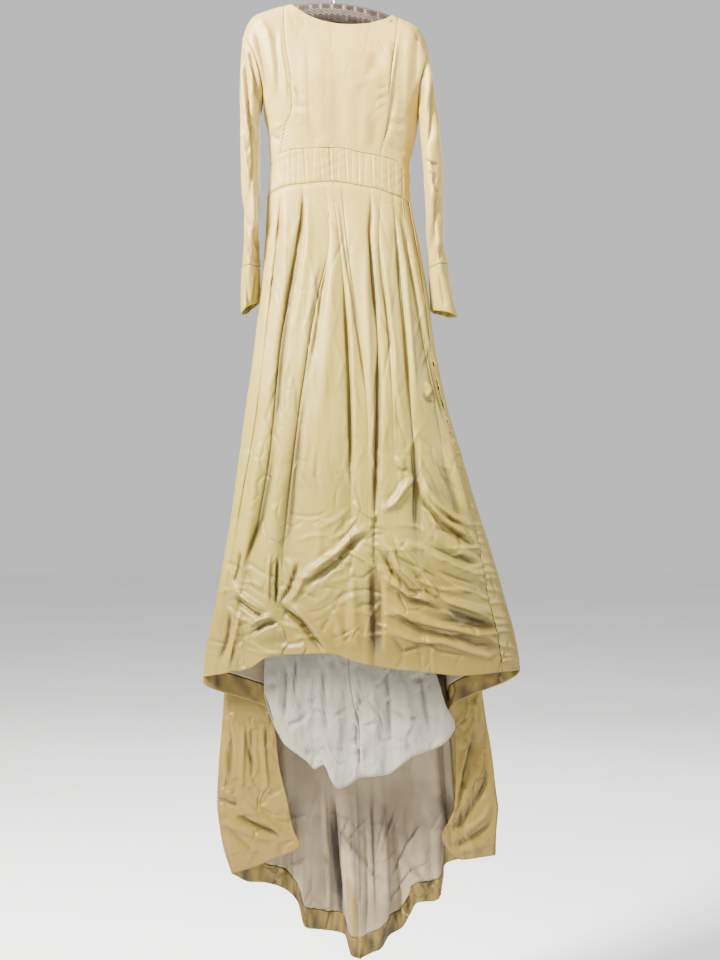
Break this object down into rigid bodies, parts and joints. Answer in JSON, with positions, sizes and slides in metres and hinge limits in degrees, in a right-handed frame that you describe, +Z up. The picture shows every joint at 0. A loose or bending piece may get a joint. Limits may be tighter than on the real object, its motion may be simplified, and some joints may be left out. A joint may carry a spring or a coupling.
{
  "type": "wedding dress on a padded hanger",
  "caption": "Long-sleeved satin wedding dress with a boat neck, gathered midriff, pleated skirt, white slip and lined train, hanging on a padded hanger with a metal hook.",
  "frame": {"origin": "inside top of the hanger's hook, where it rests on a rail", "axes": "+Z up, along the dress's length; +Y away from the viewer, so the dress's front faces -Y; +X to the viewer's right"},
  "size_m": [0.6872, 0.2138, 2.1999],
  "materials": {
    "satin": "champagne satin with a soft gloss",
    "lining": "thin, matt, slightly sheer lining",
    "slip_cloth": "white, matt, lightly creased",
    "hanger_cover": "taupe cover with a paler six-sided trellis",
    "hook_metal": "plain wire"
  },
  "bodies": {
    "root": {"hanger_hook": "hook_metal", "hanger_padding": "hanger_cover", "bodice_centre_front": "satin", "bodice_side_left": "satin", "bodice_side_right": "satin", "bodice_back": "satin", "midriff_front": "satin", "midriff_back": "satin", "sleeve_left": "satin", "sleeve_right": "satin", "cuff_left": "satin", "cuff_right": "satin", "skirt_front": "satin", "skirt_back_left": "satin", "skirt_back_right": "satin", "train_lining_left": "lining", "train_lining_right": "lining", "side_lining_left": "lining", "side_lining_right": "lining", "hem_facing_side_left": "satin", "hem_facing_side_right": "satin", "hem_facing_train_left": "satin", "hem_facing_train_right": "satin", "underskirt_front_left": "slip_cloth", "underskirt_front_right": "slip_cloth", "underskirt_back": "slip_cloth"}
  },
  "joints": []
}
